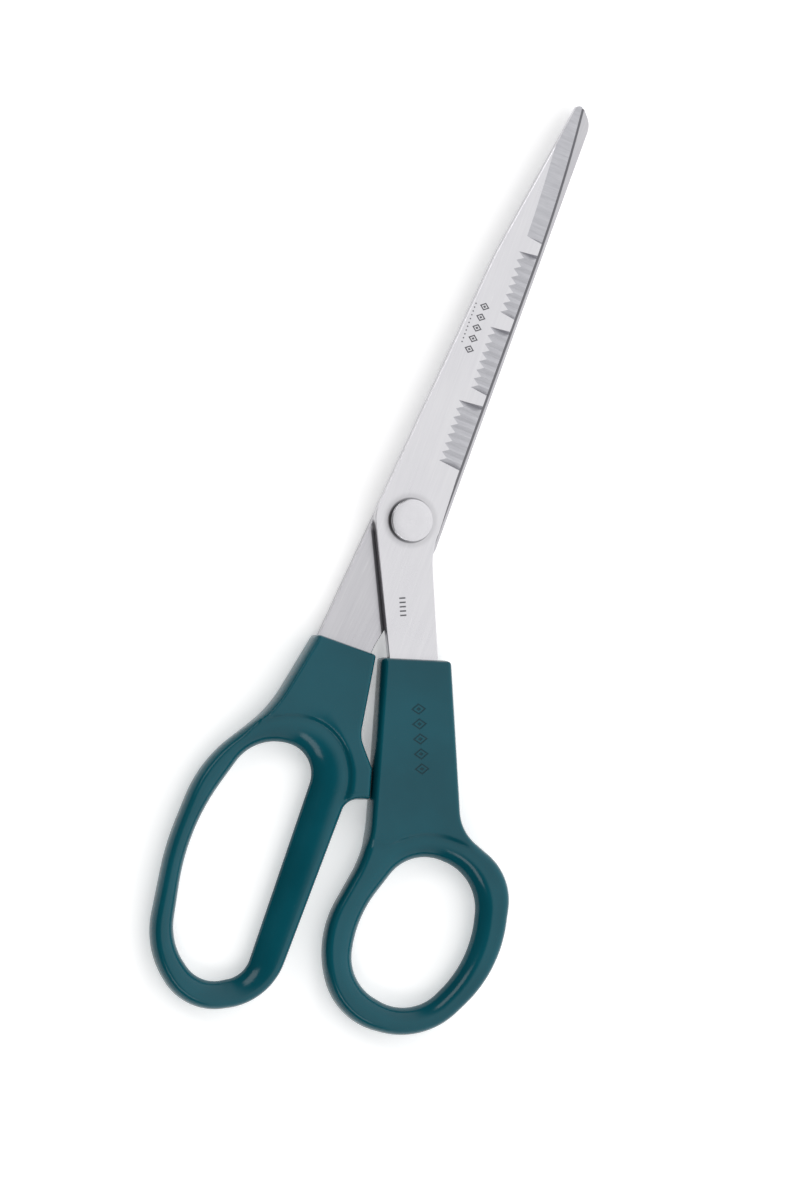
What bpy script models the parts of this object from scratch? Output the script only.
"""Bent paper-craft scissors with a fluted decorative grind along the upper blade.

The scissors lie flat: +X runs along the closed blades towards the tips, +Z is up, and the origin is under
the centre of the whole object, on the surface it lies on. Sizes are in metres.

Inside this file everything is worked out in the pivot frame: the pivot axis is Z through (0, 0), and the two
blades meet at z = 0. The upper blade carries the thumb handle and cuts with its -Y edge. The lower blade
carries the finger handle and cuts with its +Y edge. The last step moves the assembly to the outer frame.
"""

import math

import bmesh
import bpy
import numpy as np
from mathutils import Vector

MM = 0.001

# ---------------------------------------------------------------- clearances
BLADE_GAP = 0.2 * MM  # between the two inner faces
STACK_GAP = 0.1 * MM  # between the flat faces of the pivot stack
PIVOT_CLEARANCE = 0.1 * MM  # radial, rivet shank in each blade and washer
TANG_CLEARANCE = 0.3 * MM  # tang to the moulded pocket round it
STOP_GAP = 0.3 * MM  # stop lug to the thumb handle when closed
OVERCUT = 1.0 * MM  # how far a cutter runs past the face it opens

# ---------------------------------------------------------------- blades
BLADE_THICKNESS = 2.4 * MM
BLADE_REACH = 99.3 * MM  # pivot axis to the tips
EDGE_OFFSET = 7.0 * MM  # pivot axis to the upper blade's cutting edge
SHOULDER_RISE = 8.0 * MM  # pivot axis to the upper blade's spine, beside it
SPINE_BREAK = 62.0 * MM  # where the spine and the edge both start to close on the tip
SPINE_BREAK_RISE = 2.5 * MM
TIP_WIDTH = 1.6 * MM
TIP_RISE = 2.0 * MM  # how far the cutting edge curves up by the tip
EDGE_RELIEF = 0.5 * MM  # how far the steep cutting bevel leans back over the thickness
TANG_ANGLE = math.radians(23.8)  # upper tang, measured from -X towards -Y
TANG_WIDTH = 11.0 * MM
TANG_ROOT = (-27.1 * MM, -10.8 * MM)  # the middle of the upper tang where it enters its handle
TANG_TAPER = math.radians(2.5)  # the tang's inner side leans this much more than its outer side
LOWER_SPINE_OFFSET = 8.15 * MM  # pivot axis to the lower blade's straight spine
LOWER_HEEL_RISE = 7.2 * MM  # pivot axis to the lower blade's edge at its heel
LOWER_EDGE_SLOPE = 0.095
LOWER_TANG_WIDTH = 12.6 * MM
LOWER_TANG_ROOT = (-30.5 * MM, 3.6 * MM)
LOWER_TANG_ANGLE = math.radians(5.3)  # lower tang, measured from -X towards +Y
TANG_DEPTH_IN_THUMB = 26.0 * MM
TANG_DEPTH_IN_FINGER = 15.0 * MM
TANG_HOLE_RADIUS = 2.5 * MM  # the moulding flows through it and locks the tang
ARC_STEP = math.radians(9.0)  # finest turn between two points of an outline's corner

# ---------------------------------------------------------------- decorative grind
GRIND_ANGLE = math.radians(16.0)
FLUTE_PITCH = 2.0 * MM
FLUTES_PER_GROUP = 8
RIDGE_STEP = 1.5 * MM  # how much less the ridges between flutes reach in than the flutes do
GRIND_RUN_OUT = 0.6 * MM  # how far each end of a ground stretch slants along the edge
# Each fluted group: its first flute's place, and how far in its first and last flutes reach.
FLUTE_GROUPS = (
    (14.7 * MM, 5.6 * MM, 6.1 * MM),
    (32.3 * MM, 4.5 * MM, 5.1 * MM),
    (50.2 * MM, 4.1 * MM, 4.8 * MM),
)
TIP_GRIND_START = 67.4 * MM
TIP_GRIND_WIDTH = 4.2 * MM
LOWER_GRIND_WIDTH = 3.0 * MM
LOWER_GRIND_START = 9.0 * MM
HOLLOW_DEPTH = 0.2 * MM  # dish ground into each inner face, so only the edges touch
HOLLOW_START = 13.0 * MM
HOLLOW_SHORT_OF_TIP = 13.3 * MM
HOLLOW_HALF_WIDTH = 3.4 * MM
HOLLOW_RINGS = 3
HOLLOW_POINTS = 24

# ---------------------------------------------------------------- pivot
RIVET_RADIUS = 2.5 * MM
HEAD_RADIUS = 4.7 * MM
HEAD_HEIGHT = 1.8 * MM
HEAD_EDGE = 0.35 * MM
TAIL_RADIUS = 3.6 * MM
WASHER_RADIUS = 5.0 * MM
WASHER_THICKNESS = 0.6 * MM
ROUND_SEGMENTS = 48

# ---------------------------------------------------------------- handles
PLATEAU_HEIGHT = 4.2 * MM  # half the thickness of a handle's flat shank; the rivet's tail is as low
BEAD_HEIGHT = 3.4 * MM  # half the thickness of the ring round a finger hole
SIDE_ROUNDING = 1.9 * MM  # down the outside of a ring
SHANK_ROUNDING = 1.2 * MM  # the same beside a shank's flat, where the corner is crisper
END_ROUNDING = 0.6 * MM
STEP_WIDTH = 1.2 * MM  # the ramp from the ring up to the shank's flat

# Each corner of the end that a tang enters, in millimetres: the wall beside the tang, how far the corner
# stands out along the tang, and its radius.
THUMB_END = ((3.07, -2.14, 2.4), (1.6, -0.48, 1.3))
# Outlines are corners (x, y, radius) in millimetres, anticlockwise, in the pivot frame.
THUMB_BODY = (
    (-71.0, -16.3, 28.0),
    (-93.0, -12.5, 23.0),
    (-108.7, -23.0, 18.0),
    (-106.8, -43.5, 18.0),
    (-86.0, -54.0, 32.0),
    (-65.0, -49.5, 15.0),
    (-60.0, -34.8, 9.5),
)
THUMB_HOLE = (
    (-67.2, -25.8, 10.0),
    (-85.7, -19.7, 26.0),
    (-100.0, -22.7, 11.0),
    (-102.7, -39.0, 12.0),
    (-86.0, -47.0, 25.0),
    (-68.0, -42.6, 11.0),
)
THUMB_SLOPE = (3.4 * MM, 0.0)  # width of the slope up from the hole, and how much more it is towards -Y
THUMB_BANK = 1.1 * MM  # from the top of that slope to the step
THUMB_STEP_LINE = ((-70.0, -17.0), (-62.5, -38.0))  # the step to the shank runs between these two places
FINGER_END = ((0.45, 0.83, 1.6), (1.16, -0.79, 1.9))
FINGER_BODY = (
    (-49.6, 14.9, 28.0),
    (-65.6, 25.4, 30.0),
    (-85.5, 26.2, 60.0),
    (-108.8, 22.6, 20.0),
    (-119.0, 9.1, 14.0),
    (-110.2, -7.6, 15.5),
    (-62.5, -8.2, 4.3),
)
FINGER_NECK = (-48.5, -6.2, 7.0)
FINGER_HOLE = (
    (-56.2, 15.8, 11.0),
    (-80.6, 22.9, 50.0),
    (-105.4, 17.8, 14.0),
    (-112.0, 8.4, 8.5),
    (-106.6, -0.4, 6.5),
    (-54.6, 0.7, 8.0),
)
FINGER_SLOPE = (4.7 * MM, 2.2 * MM)
FINGER_BANK = 1.1 * MM
FINGER_STEP_LINE = ((-57.0, 18.5), (-63.5, -8.0))
LUG_REACH = (31.5 * MM, 24.5 * MM)  # the stop lug's two corners, along the thumb handle's side from its end
LUG_ROUNDING = 0.6 * MM
HANDLE_SPACING = 4.0 * MM  # longest gap between two sections along a straight side
SIDE_LEVELS = (1.0, 0.5, 0.2, 0.04)  # where a section has a point, in SIDE_ROUNDINGs from the outer rim
START_SPREAD = 0.12  # how far the sections' starts are drawn from the nearest place to an even spacing
SLOPE_LEVELS = (0.12, 0.4, 1.0)  # the same, in slope widths from the hole

# ---------------------------------------------------------------- colours
STEEL = (0.72, 0.71, 0.74, 1.0)
POLISHED_STEEL = (0.78, 0.77, 0.79, 1.0)
TEAL_PLASTIC = (0.022, 0.105, 0.135, 1.0)


# ================================================================ small geometry helpers
def polar(length, angle):
    """A plane vector of that length and direction."""
    return np.array([math.cos(angle), math.sin(angle)]) * length


def rounded_outline(corners):
    """Points of a closed outline whose corners (x, y, radius) are each replaced by an arc."""
    points = []
    count = len(corners)
    for i, (x, y, radius) in enumerate(corners):
        here = np.array([x, y])
        back = np.array(corners[i - 1][:2]) - here
        on = np.array(corners[(i + 1) % count][:2]) - here
        back_length, on_length = np.linalg.norm(back), np.linalg.norm(on)
        back, on = back / back_length, on / on_length
        half = math.acos(max(-1.0, min(1.0, float(back @ on)))) / 2
        turn = math.pi - 2 * half
        if radius <= 0 or turn < 1e-4:
            points.append(here)
            continue
        setback = min(radius / math.tan(half), 0.49 * back_length, 0.49 * on_length)
        radius = setback * math.tan(half)
        centre = here + (back + on) / np.linalg.norm(back + on) * radius / math.sin(half)
        steps = max(1, math.ceil(turn / ARC_STEP))
        first = here + back * setback - centre
        side = math.copysign(1.0, back[1] * on[0] - back[0] * on[1])
        for k in range(steps + 1):
            angle = side * turn * k / steps
            c, s = math.cos(angle), math.sin(angle)
            points.append(centre + np.array([c * first[0] - s * first[1], s * first[0] + c * first[1]]))
    return points


def meeting_point(point_a, angle_a, point_b, angle_b):
    """Where two plane lines cross, each given by a point and a direction."""
    a, b = polar(1, angle_a), polar(1, angle_b)
    along = np.linalg.solve(np.array([a, -b]).T, np.array(point_b) - np.array(point_a))
    return np.array(point_a) + a * along[0]


def new_object(name, points, faces, colour=None, metallic=0.0, roughness=0.5):
    """A mesh object, with its faces turned outwards and a plain material of its own."""
    mesh = bpy.data.meshes.new(name)
    mesh.from_pydata([tuple(map(float, p)) for p in points], [], faces)
    work = bmesh.new()
    work.from_mesh(mesh)
    bmesh.ops.recalc_face_normals(work, faces=work.faces)
    work.to_mesh(mesh)
    work.free()
    obj = bpy.data.objects.new(name, mesh)
    bpy.context.scene.collection.objects.link(obj)
    if colour:
        material = bpy.data.materials.new(name)
        material.use_nodes = True
        shader = material.node_tree.nodes["Principled BSDF"]
        shader.inputs["Base Color"].default_value = colour
        shader.inputs["Metallic"].default_value = metallic
        shader.inputs["Roughness"].default_value = roughness
        mesh.materials.append(material)
    return obj


def prism(name, low_ring, high_ring, **look):
    """A closed solid between two rings of the same number of points (x, y, z)."""
    count = len(low_ring)
    sides = [(i, (i + 1) % count, count + (i + 1) % count, count + i) for i in range(count)]
    ends = [tuple(reversed(range(count))), tuple(range(count, 2 * count))]
    return new_object(name, list(low_ring) + list(high_ring), sides + ends, **look)


def lathe(name, profile, **look):
    """A solid turned about Z from (radius, z) points; a radius of 0 closes it on the axis."""
    points, rings = [], []
    for radius, z in profile:
        if radius == 0:
            rings.append([len(points)] * ROUND_SEGMENTS)
            points.append((0.0, 0.0, z))
            continue
        rings.append(list(range(len(points), len(points) + ROUND_SEGMENTS)))
        for k in range(ROUND_SEGMENTS):
            x, y = polar(radius, 2 * math.pi * k / ROUND_SEGMENTS)
            points.append((x, y, z))
    closed = profile[0][0] > 0
    pairs = list(zip(rings, rings[1:] + rings[:1])) if closed else list(zip(rings, rings[1:]))
    faces = []
    for low, high in pairs:
        for k in range(ROUND_SEGMENTS):
            after = (k + 1) % ROUND_SEGMENTS
            face = dict.fromkeys((low[k], low[after], high[after], high[k]))
            faces.append(tuple(face))
    return new_object(name, points, faces, **look)


def cut(obj, cutter):
    """Takes the cutter's shape away from the object with a Boolean, and hides the cutter."""
    cutter.hide_render = True
    cutter.display_type = "WIRE"
    modifier = obj.modifiers.new(cutter.name, "BOOLEAN")
    modifier.operation = "DIFFERENCE"
    modifier.solver = "EXACT"
    modifier.object = cutter


def shade_round(obj, sharp_angle=math.radians(35)):
    """Smooth shading that keeps the real corners crisp."""
    obj.data.shade_smooth()
    obj.data.set_sharp_from_angle(angle=sharp_angle)


# ================================================================ blades
def edge_height(x, start, slope, curve_radius):
    """How far a cutting edge has dropped at x: straight at first, then a gentle arc to the tip."""
    past = max(0.0, x - start)
    return slope * x + past * past / (2 * curve_radius)


def edge_chain(heel, tip, height_at):
    """Points along a cutting edge from its heel to its tip, closer together where it curves."""
    stations = [heel, (heel + SPINE_BREAK) / 2]
    stations += list(np.linspace(SPINE_BREAK, tip, 9))
    return [np.array([x, height_at(x)]) for x in stations]


def upper_edge_height(x):
    """The upper blade's cutting edge, which faces -Y."""
    run = BLADE_REACH - SPINE_BREAK
    return -EDGE_OFFSET + edge_height(x, SPINE_BREAK, 0.0, run * run / (2 * TIP_RISE))


def lower_edge_height(x):
    """The lower blade's cutting edge, which faces +Y and stays under the upper blade's spine when closed."""
    run = BLADE_REACH - SPINE_BREAK
    tip = upper_edge_height(BLADE_REACH) + TIP_WIDTH * 0.4
    drop = LOWER_HEEL_RISE - LOWER_EDGE_SLOPE * BLADE_REACH - tip
    return LOWER_HEEL_RISE - edge_height(x, SPINE_BREAK, LOWER_EDGE_SLOPE, run * run / (2 * drop))


def upper_blade_outline():
    """(cutting edge chain, rest of the outline) of the upper blade, anticlockwise from the heel."""
    across = polar(1, TANG_ANGLE + math.pi / 2)
    inner_angle = TANG_ANGLE + TANG_TAPER
    left_root = np.array(TANG_ROOT) + across * TANG_WIDTH / 2
    right_root = np.array(TANG_ROOT) - across * TANG_WIDTH / 2
    heel = meeting_point(right_root, TANG_ANGLE, (0, -EDGE_OFFSET), 0)
    spine_angle = math.atan2(SPINE_BREAK_RISE - SHOULDER_RISE, SPINE_BREAK)
    shoulder = meeting_point(left_root, inner_angle, (0, SHOULDER_RISE), spine_angle)
    tip_low = (BLADE_REACH, upper_edge_height(BLADE_REACH))
    tip_high = (BLADE_REACH - 0.2 * MM, upper_edge_height(BLADE_REACH) + TIP_WIDTH)
    corners = [
        (*heel, 18 * MM),
        (*tip_low, 0),
        (*tip_high, 1.2 * MM),
        (SPINE_BREAK, SPINE_BREAK_RISE, 120 * MM),
        (*shoulder, 6.5 * MM),
        (*(left_root - polar(TANG_DEPTH_IN_THUMB, inner_angle)), 2 * MM),
        (*(right_root - polar(TANG_DEPTH_IN_THUMB, TANG_ANGLE)), 2 * MM),
    ]
    points = rounded_outline(corners)
    tip_at = min(range(len(points)), key=lambda i: np.linalg.norm(points[i] - np.array(tip_low)))
    heel_end = max(range(tip_at), key=lambda i: points[i][0])
    edge = edge_chain(points[heel_end][0] + MM, BLADE_REACH, upper_edge_height)
    return edge, points[tip_at + 1 :] + points[: heel_end + 1]


def lower_blade_outline():
    """(cutting edge chain, rest of the outline) of the lower blade, clockwise from the heel."""
    root = np.array(LOWER_TANG_ROOT)
    end = root - polar(TANG_DEPTH_IN_FINGER, -LOWER_TANG_ANGLE)
    across = polar(1, math.pi / 2 - LOWER_TANG_ANGLE)
    end_left = end + across * LOWER_TANG_WIDTH / 2
    end_right = end - across * LOWER_TANG_WIDTH / 2
    root_right = root - across * LOWER_TANG_WIDTH / 2
    tip = (BLADE_REACH, lower_edge_height(BLADE_REACH))
    heel_x = 4.0 * MM
    corners = [
        (*tip, 0),
        (BLADE_REACH - 0.2 * MM, -LOWER_SPINE_OFFSET + 2.4 * MM, 1.0 * MM),
        (BLADE_REACH - 3.0 * MM, -LOWER_SPINE_OFFSET, 5.0 * MM),
        (-4.5 * MM, -LOWER_SPINE_OFFSET, 14 * MM),
        (*(root_right + polar(3 * MM, 0)), 12 * MM),
        (*end_right, 2 * MM),
        (*end_left, 2 * MM),
        (-2.0 * MM, LOWER_HEEL_RISE + 0.3 * MM, 20 * MM),
    ]
    points = rounded_outline(corners)
    edge = edge_chain(heel_x, BLADE_REACH, lower_edge_height)
    return edge, points[1:]


def blade_solid(name, edge, rest, outer_side):
    """A blade: its inner face at the parting plane, its cutting edge leaning back towards the outer face.

    edge runs from heel to tip, and rest closes the outline from the tip back to the heel.
    outer_side is +1 where the outer face is up, and -1 where it is down.
    """
    inner_z = outer_side * BLADE_GAP / 2
    outer_z = inner_z + outer_side * BLADE_THICKNESS
    towards_spine = -1 if edge[0][1] > 0 else 1
    inner_ring = [(*p, inner_z) for p in edge + rest]
    outer_ring = []
    for i, p in enumerate(edge):
        relief = EDGE_RELIEF if 0 < i else 0.0
        outer_ring.append((p[0], p[1] + towards_spine * relief, outer_z))
    outer_ring += [(*p, outer_z) for p in rest]
    return prism(name, inner_ring, outer_ring, colour=STEEL, metallic=1.0, roughness=0.32)


def pivot_hole_cutter(name):
    """A through hole for the rivet's shank."""
    top = BLADE_GAP + BLADE_THICKNESS + OVERCUT
    radius = RIVET_RADIUS + PIVOT_CLEARANCE
    return lathe(name, [(0, -top), (radius, -top), (radius, top), (0, top)])


def tang_hole_cutter(name, centre, radius, low, high):
    """A round hole through a tang, at that place in the plane."""
    ring = [np.array(centre) + polar(radius, 2 * math.pi * k / 24) for k in range(24)]
    return prism(name, [(*p, low) for p in ring], [(*p, high) for p in ring])


def grind_cutter(name, stations, widest, outer_side):
    """What a grinding wheel takes off a blade's outer face, down to a slope that falls towards the edge.

    Each station is (x, edge_y, reach): at that x the slope leaves the flat at that reach from the edge.
    """
    slope = math.tan(GRIND_ANGLE)
    outer_z = outer_side * (BLADE_GAP / 2 + BLADE_THICKNESS)
    clear_z = outer_z + outer_side * ((widest + OVERCUT) * slope + OVERCUT)
    sections = []
    for x, edge_y, reach in stations:
        far_y, near_y = (edge_y + outer_side * offset for offset in (-OVERCUT, widest + OVERCUT))
        far_z, near_z = (
            outer_z + outer_side * (offset - reach) * slope for offset in (-OVERCUT, widest + OVERCUT)
        )
        sections.append([(x, far_y, far_z), (x, near_y, near_z), (x, near_y, clear_z), (x, far_y, clear_z)])
    return loft(name, sections)


def flute_cutter(index, first, first_reach, last_reach):
    """A comb of V grooves across the upper blade's edge, with a ridge between each two."""
    stations = [(first - GRIND_RUN_OUT, -EDGE_OFFSET, 0.0)]
    halves = 2 * FLUTES_PER_GROUP - 1
    for k in range(halves):
        reach = first_reach + (last_reach - first_reach) * k / (halves - 1) - (RIDGE_STEP if k % 2 else 0)
        stations.append((first + k * FLUTE_PITCH / 2, -EDGE_OFFSET, reach))
    stations.append((stations[-1][0] + GRIND_RUN_OUT, -EDGE_OFFSET, 0.0))
    return grind_cutter(f"flutes_{index}", stations, max(first_reach, last_reach), 1)


def tip_grind_cutter():
    """The plain ground facet that takes over from the flutes and runs out past the tip."""
    stations = [(TIP_GRIND_START, upper_edge_height(TIP_GRIND_START), 0.0)]
    for x in np.linspace(TIP_GRIND_START + GRIND_RUN_OUT, BLADE_REACH + OVERCUT, 9):
        stations.append((x, upper_edge_height(x), TIP_GRIND_WIDTH))
    return grind_cutter("tip_grind", stations, TIP_GRIND_WIDTH, 1)


def lower_grind_cutter():
    """The plain facet along the lower blade's edge, on its underside."""
    stations = [(LOWER_GRIND_START, lower_edge_height(LOWER_GRIND_START), 0.0)]
    for x in [LOWER_GRIND_START + 4 * GRIND_RUN_OUT, *np.linspace(SPINE_BREAK, BLADE_REACH + OVERCUT, 9)]:
        stations.append((x, lower_edge_height(x), LOWER_GRIND_WIDTH))
    return grind_cutter("lower_grind", stations, LOWER_GRIND_WIDTH, -1)


def loft(name, sections):
    """A closed solid through sections that each have the same number of points."""
    count = len(sections[0])
    points = [p for section in sections for p in section]
    faces = [tuple(range(count)), tuple(reversed(range(len(points) - count, len(points))))]
    for row in range(len(sections) - 1):
        for k in range(count):
            after = (k + 1) % count
            faces.append((row * count + k, row * count + after, (row + 1) * count + after, (row + 1) * count + k))
    return new_object(name, points, faces)


def hollow_cutter(name, centre_line, outer_side):
    """A long shallow lens that dishes a blade's inner face between its edge and its spine."""
    face_z = outer_side * BLADE_GAP / 2
    end = BLADE_REACH - HOLLOW_SHORT_OF_TIP
    middle = (HOLLOW_START + end) / 2
    half_length = (end - HOLLOW_START) / 2
    points = [(middle, centre_line(middle), face_z + outer_side * HOLLOW_DEPTH)]
    rings = []
    for ring in range(1, HOLLOW_RINGS + 2):
        share = ring / HOLLOW_RINGS
        z = face_z + outer_side * HOLLOW_DEPTH * (1 - share * share)
        rings.append(range(len(points), len(points) + HOLLOW_POINTS))
        for k in range(HOLLOW_POINTS):
            c, s = polar(1, 2 * math.pi * k / HOLLOW_POINTS)
            x = middle + half_length * c * share
            points.append((x, centre_line(x) + HOLLOW_HALF_WIDTH * s * share, z))
    faces = [(0, rings[0][k], rings[0][(k + 1) % HOLLOW_POINTS]) for k in range(HOLLOW_POINTS)]
    for low, high in zip(rings, rings[1:]):
        for k in range(HOLLOW_POINTS):
            after = (k + 1) % HOLLOW_POINTS
            faces.append((low[k], high[k], high[after], low[after]))
    faces.append(tuple(rings[-1]))
    return new_object(name, points, faces)


def upper_centre_line(x):
    """Halfway between the upper blade's edge and its spine."""
    share = min(1.0, x / SPINE_BREAK)
    spine = SHOULDER_RISE + (SPINE_BREAK_RISE - SHOULDER_RISE) * share
    past = max(0.0, x - SPINE_BREAK) / (BLADE_REACH - SPINE_BREAK)
    spine -= past * (SPINE_BREAK_RISE + EDGE_OFFSET - TIP_RISE - TIP_WIDTH)
    return (spine + upper_edge_height(x)) / 2


def lower_centre_line(x):
    """Halfway between the lower blade's edge and its spine."""
    return (lower_edge_height(x) - LOWER_SPINE_OFFSET) / 2


def tang_hole_centre(end_centre, depth, angle):
    """Where a tang's locking hole lies, halfway along its hidden length."""
    return np.array(end_centre) - polar(depth / 2, angle)


def make_upper_blade():
    """The upper blade, with its fluted groups, plain tip grind, hollow inner face and tang."""
    edge, rest = upper_blade_outline()
    blade = blade_solid("upper_blade", edge, rest, 1)
    for index, group in enumerate(FLUTE_GROUPS, 1):
        cut(blade, flute_cutter(index, *group))
    cut(blade, tip_grind_cutter())
    cut(blade, hollow_cutter("upper_hollow", upper_centre_line, 1))
    cut(blade, pivot_hole_cutter("upper_pivot_hole"))
    centre = tang_hole_centre(TANG_ROOT, TANG_DEPTH_IN_THUMB, TANG_ANGLE)
    top = BLADE_THICKNESS + OVERCUT
    cut(blade, tang_hole_cutter("upper_tang_hole", centre, TANG_HOLE_RADIUS, -OVERCUT, top))
    return blade


def make_lower_blade():
    """The lower blade: straight spine, plain ground facet underneath, hollow inner face and tang."""
    edge, rest = lower_blade_outline()
    blade = blade_solid("lower_blade", edge, rest, -1)
    cut(blade, lower_grind_cutter())
    cut(blade, hollow_cutter("lower_hollow", lower_centre_line, -1))
    cut(blade, pivot_hole_cutter("lower_pivot_hole"))
    centre = tang_hole_centre(LOWER_TANG_ROOT, TANG_DEPTH_IN_FINGER, -LOWER_TANG_ANGLE)
    bottom = -BLADE_THICKNESS - OVERCUT
    cut(blade, tang_hole_cutter("lower_tang_hole", centre, TANG_HOLE_RADIUS, bottom, OVERCUT))
    return blade


# ================================================================ pivot stack
def outer_face():
    """Distance from the parting plane to a blade's outer face."""
    return BLADE_GAP / 2 + BLADE_THICKNESS


def make_rivet():
    """The rivet: flat polished head on top, shank through both blades, set tail underneath."""
    head_low = outer_face() + STACK_GAP
    head_high = head_low + HEAD_HEIGHT
    tail_high = -(outer_face() + 2 * STACK_GAP + WASHER_THICKNESS)
    tail_low = -PLATEAU_HEIGHT
    profile = [
        (0, tail_low),
        (TAIL_RADIUS * 0.7, tail_low),
        (TAIL_RADIUS * 0.93, (tail_low * 2 + tail_high) / 3),
        (TAIL_RADIUS, tail_high),
        (RIVET_RADIUS, tail_high),
        (RIVET_RADIUS, head_low),
        (HEAD_RADIUS - HEAD_EDGE / 2, head_low),
        (HEAD_RADIUS, head_low + HEAD_EDGE / 2),
        (HEAD_RADIUS, head_high - HEAD_EDGE),
        (HEAD_RADIUS - HEAD_EDGE * 0.3, head_high - HEAD_EDGE * 0.3),
        (HEAD_RADIUS - HEAD_EDGE, head_high),
        (0, head_high),
    ]
    rivet = lathe("pivot_rivet", profile, colour=POLISHED_STEEL, metallic=1.0, roughness=0.18)
    shade_round(rivet)
    return rivet


def make_washer():
    """The flat steel ring that the rivet's tail is set over."""
    hole = RIVET_RADIUS + PIVOT_CLEARANCE
    high = -(outer_face() + STACK_GAP)
    low = high - WASHER_THICKNESS
    profile = [(hole, low), (WASHER_RADIUS, low), (WASHER_RADIUS, high), (hole, high)]
    washer = lathe("pivot_washer", profile, colour=POLISHED_STEEL, metallic=1.0, roughness=0.25)
    shade_round(washer)
    return washer


# ================================================================ handles
def rise(distance, width, power):
    """0 at a rim, 1 from width inwards, and round between."""
    left = 1.0 - np.clip(distance / width, 0.0, 1.0)
    return (1.0 - left**power) ** (1.0 / power)


def ramp(value, low, high):
    """0 below low, 1 above high, smooth between."""
    t = np.clip((value - low) / (high - low), 0.0, 1.0)
    return t * t * (3 - 2 * t)


def line_field(points, start, end):
    """Distance of points to the left of the line from start to end."""
    along = np.array(end) - np.array(start)
    return (points - np.array(start)) @ np.array([-along[1], along[0]]) / np.linalg.norm(along)


def outline_distance(points, outline):
    """Distance of each point from a closed outline, and the nearest place as a length along it."""
    starts = np.array(outline)
    spans = np.roll(starts, -1, axis=0) - starts
    lengths = np.linalg.norm(spans, axis=1)
    before = np.concatenate([[0.0], np.cumsum(lengths)[:-1]])
    offsets = points[:, None, :] - starts[None]
    share = np.clip((offsets * spans).sum(2) / lengths**2, 0.0, 1.0)
    distance = np.linalg.norm(offsets - share[..., None] * spans, axis=2)
    nearest = distance.argmin(axis=1)
    rows = np.arange(len(points))
    return distance[rows, nearest], before[nearest] + share[rows, nearest] * lengths[nearest]


def place_along(outline, wanted):
    """Points at the wanted lengths along a closed outline."""
    closed = np.vstack([outline, outline[:1]])
    lengths = np.concatenate([[0.0], np.cumsum(np.linalg.norm(np.diff(closed, axis=0), axis=1))])
    wanted = np.mod(wanted, lengths[-1])
    return np.stack([np.interp(wanted, lengths, closed[:, k]) for k in (0, 1)], axis=1), lengths[-1]


def subdivided(outline, longest):
    """The same closed outline, with extra points so that no gap is longer than that."""
    points = []
    for here, after in zip(outline, outline[1:] + outline[:1]):
        parts = max(1, math.ceil(np.linalg.norm(after - here) / longest))
        points += [here + (after - here) * k / parts for k in range(parts)]
    return np.array(points)


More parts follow.
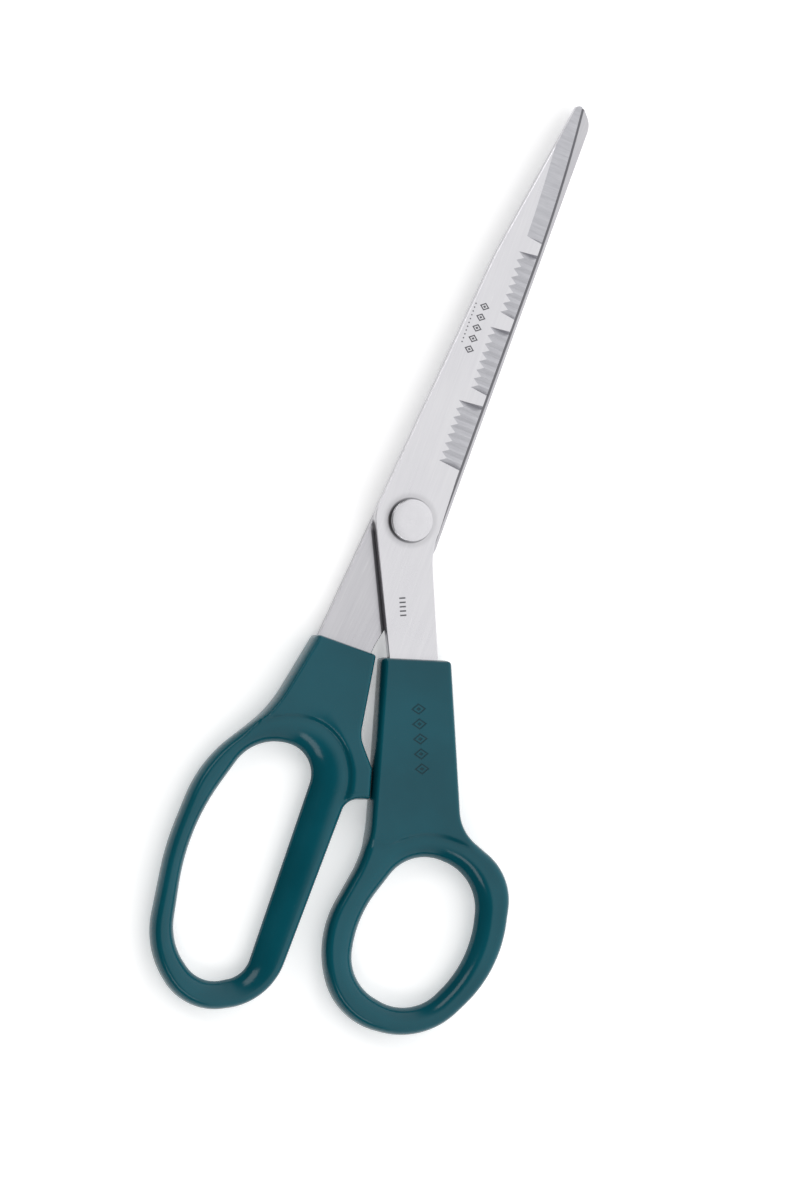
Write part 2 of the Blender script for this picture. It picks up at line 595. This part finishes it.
class Handle:
    """A moulded handle: a ring round a finger hole, and a flat shank over the tang.

    The solid is a set of sections that each run from the hole's rim to the outer rim, mirrored about z = 0.
    """

    def __init__(self, end, body, hole, slope, bank, step_line):
        self.outer = rounded_outline([(x * MM, y * MM, r * MM) for x, y, r in [*end, *body]])
        self.sides = self.without_end(end, body)
        self.hole = np.array(rounded_outline([(x * MM, y * MM, r * MM) for x, y, r in hole]))
        self.middle = self.hole.mean(axis=0)
        self.end = [np.array(corner[:2]) * MM for corner in end]
        self.slope, self.slope_bias = slope
        self.bank = bank
        self.step_line = [np.array(place) * MM for place in step_line]

    def without_end(self, end, body):
        """The outer outline with its two long sides run on past the end face."""
        corners = []
        for corner, back in ((end[0], body[-1]), (end[1], body[0])):
            here = np.array(corner[:2])
            away = here - np.array(back[:2])
            corners.append((*(here + away / np.linalg.norm(away) * 10), 0))
        return rounded_outline([(x * MM, y * MM, r * MM) for x, y, r in [*corners, *body]])

    def slope_width(self, points):
        """Width of the slope up from the hole, which may differ round the ring."""
        away = points - self.middle
        return self.slope - self.slope_bias * away[:, 1] / (np.linalg.norm(away * (0.4, 1.0), axis=1) + 1e-9)

    def height(self, points):
        """Half the handle's thickness at each point."""
        from_hole, _ = outline_distance(points, self.hole)
        slope = self.slope_width(points)
        on_shank = ramp(line_field(points, *self.step_line), -1 * MM, 2 * MM)
        rounding = SIDE_ROUNDING + (SHANK_ROUNDING - SIDE_ROUNDING) * on_shank
        side = rise(outline_distance(points, self.sides)[0], rounding, 2.4)
        end = rise(line_field(points, self.end[0], self.end[1]), END_ROUNDING, 2.0)
        inner = rise(from_hole, slope, 1.8)
        past_step = ramp(from_hole, slope + self.bank, slope + self.bank + STEP_WIDTH)
        top = BEAD_HEIGHT + (PLATEAU_HEIGHT - BEAD_HEIGHT) * on_shank * past_step
        return top * inner * side * end

    def sections(self):
        """Where each section starts and ends. Starts bunch towards the shank, but never meet."""
        ends = subdivided(self.outer, HANDLE_SPACING)
        _, along = outline_distance(ends, self.hole)
        _, whole = place_along(self.hole, along)
        along = np.unwrap(along * 2 * math.pi / whole) * whole / (2 * math.pi)
        turn = math.copysign(whole, along[-1] - along[0])
        even = along[0] + turn * np.arange(len(ends)) / len(ends)
        even += (along - even).mean()
        starts, _ = place_along(self.hole, along + (even - along) * START_SPREAD)
        return starts, ends

    def section_places(self, starts, ends):
        """Shares of each section at which it has a point: up the slope, over the step and down the side."""
        shares = np.linspace(0.0, 1.0, 161)
        grid = starts[:, None] + (ends - starts)[:, None] * shares[None, :, None]
        flat = grid.reshape(-1, 2)
        from_rim = outline_distance(flat, self.outer)[0].reshape(len(starts), -1)
        from_hole = outline_distance(flat, self.hole)[0].reshape(len(starts), -1)
        slope = self.slope_width(flat).reshape(len(starts), -1)
        places = []
        for row in range(len(starts)):
            width = slope[row, 0]
            wanted = [width * level for level in SLOPE_LEVELS]
            wanted += [width + self.bank, width + self.bank + STEP_WIDTH / 2, width + self.bank + STEP_WIDTH]
            back = np.maximum.accumulate(from_rim[row][::-1])
            down = 1 - np.interp([SIDE_ROUNDING * level for level in SIDE_LEVELS], back, shares)
            rising = np.maximum.accumulate(from_hole[row])
            room = min(1.0, 0.94 * np.interp(down[0], shares, rising) / wanted[-1])
            up = np.interp(np.array(wanted) * room, rising, shares)
            places.append([0.0, *up, *down, 1.0])
        return np.array(places)

    def solid(self, name):
        """The closed handle, before its tang pocket is cut."""
        starts, ends = self.sections()
        places = self.section_places(starts, ends)
        count, levels = places.shape
        points = starts[:, None] + (ends - starts)[:, None] * places[:, :, None]
        height = self.height(points.reshape(-1, 2)).reshape(count, levels)
        height[:, 0] = height[:, -1] = 0.0
        corners = []
        for i in range(count):
            corners += [(*points[i, j], height[i, j]) for j in range(levels)]
            corners += [(*points[i, j], -height[i, j]) for j in range(levels - 2, 0, -1)]
        around = 2 * levels - 2
        faces = []
        for i in range(count):
            here, after = i * around, (i + 1) % count * around
            for j in range(around):
                following = (j + 1) % around
                faces.append((here + j, here + following, after + following, after + j))
        return new_object(name, corners, faces, colour=TEAL_PLASTIC, roughness=0.22)


def handle_end(end, tang_root, angle, tang_width):
    """The two outline corners, in millimetres, of a handle's end round the tang that it takes."""
    along, across = polar(1, angle), polar(1, angle + math.pi / 2)
    corners = []
    for side, (wall, reach, radius) in zip((-1, 1), end):
        beside = side * (tang_width / MM / 2 + wall)
        corners.append((*(np.array(tang_root) / MM + along * reach + across * beside), radius))
    return corners


def thumb_end():
    """The thumb handle's end, round the upper tang."""
    return handle_end(THUMB_END, TANG_ROOT, TANG_ANGLE, TANG_WIDTH)


def stop_lug():
    """The two corners of the stop lug on the finger handle, STOP_GAP clear of the thumb handle's side."""
    corner = np.array(thumb_end()[1][:2])
    side = np.array(THUMB_BODY[0][:2]) - corner
    side /= np.linalg.norm(side)
    clear = np.array([-side[1], side[0]]) * -STOP_GAP / MM
    rounding = LUG_ROUNDING / MM
    return [(*(corner + clear + side * reach / MM), rounding) for reach in LUG_REACH]


def thumb_handle_form():
    """The smaller handle, on the upper blade."""
    return Handle(thumb_end(), THUMB_BODY, THUMB_HOLE, THUMB_SLOPE, THUMB_BANK, THUMB_STEP_LINE)


def finger_handle_form():
    """The longer handle, on the lower blade, with the stop lug."""
    end = handle_end(FINGER_END, LOWER_TANG_ROOT, -LOWER_TANG_ANGLE, LOWER_TANG_WIDTH)
    body = [*FINGER_BODY, *stop_lug(), FINGER_NECK]
    return Handle(end, body, FINGER_HOLE, FINGER_SLOPE, FINGER_BANK, FINGER_STEP_LINE)


def pocket_cutter(name, end_centre, depth, angle, width, outer_side):
    """The slot that a tang fills, open at the handle's end face."""
    along, across = polar(1, angle), polar(1, angle + math.pi / 2)
    half = width / 2 + TANG_CLEARANCE
    inner = np.array(end_centre) - along * (depth + TANG_CLEARANCE)
    outer = np.array(end_centre) + along * 4 * MM
    corners = [inner - across * half, outer - across * half, outer + across * half, inner + across * half]
    low = outer_side * (BLADE_GAP / 2 - TANG_CLEARANCE)
    high = outer_side * (BLADE_GAP / 2 + BLADE_THICKNESS + TANG_CLEARANCE)
    return prism(name, [(*p, low) for p in corners], [(*p, high) for p in corners])


def anchor_post(name, centre, outer_side):
    """The plug of plastic that fills a tang's locking hole; it is cut out of the pocket cutter."""
    low = outer_side * (BLADE_GAP / 2 - TANG_CLEARANCE - OVERCUT)
    high = outer_side * (BLADE_GAP / 2 + BLADE_THICKNESS + TANG_CLEARANCE + OVERCUT)
    return tang_hole_cutter(name, centre, TANG_HOLE_RADIUS - TANG_CLEARANCE, low, high)


def make_handle(name, form, end_centre, depth, angle, width, outer_side):
    """A handle with the pocket for its tang, and the post that locks the tang."""
    handle = form.solid(name)
    pocket = pocket_cutter(name + "_pocket", end_centre, depth, angle, width, outer_side)
    cut(pocket, anchor_post(name + "_post", tang_hole_centre(end_centre, depth, angle), outer_side))
    cut(handle, pocket)
    shade_round(handle)
    return handle


def make_handles():
    """Both handles."""
    thumb = make_handle(
        "thumb_handle", thumb_handle_form(), TANG_ROOT, TANG_DEPTH_IN_THUMB, TANG_ANGLE, TANG_WIDTH, 1,
    )
    finger = make_handle(
        "finger_handle", finger_handle_form(), LOWER_TANG_ROOT, TANG_DEPTH_IN_FINGER, -LOWER_TANG_ANGLE,
        LOWER_TANG_WIDTH, -1,
    )
    return thumb, finger


# ================================================================ assembly
def frame_shift(objects):
    """What carries the pivot frame to the outer frame: centred in plan, standing on z = 0."""
    corners = np.array([v.co for obj in objects for v in obj.data.vertices])
    low, high = corners.min(0), corners.max(0)
    return Vector((-(low[0] + high[0]) / 2, -(low[1] + high[1]) / 2, -low[2]))


def assemble(halves):
    """Parents each half to its own empty on the pivot axis, then moves the whole to the outer frame."""
    pieces = [obj for members in halves.values() for obj in members]
    shift = frame_shift(pieces)
    assembly = bpy.data.objects.new("scissors", None)
    bpy.context.scene.collection.objects.link(assembly)
    assembly.location = shift
    for name, members in halves.items():
        half = bpy.data.objects.new(name, None)
        bpy.context.scene.collection.objects.link(half)
        half.parent = assembly
        for obj in members:
            obj.parent = half
    for obj in bpy.data.objects:
        if obj.type == "MESH" and obj.parent is None:
            obj.parent = assembly


def main():
    """Clears the scene and builds the scissors, closed."""
    for obj in list(bpy.data.objects):
        bpy.data.objects.remove(obj)
    upper_blade, lower_blade = make_upper_blade(), make_lower_blade()
    thumb_handle, finger_handle = make_handles()
    rivet, washer = make_rivet(), make_washer()
    assemble(
        {
            "thumb_half": [upper_blade, thumb_handle],
            "finger_half": [lower_blade, finger_handle, rivet, washer],
        }
    )


main()
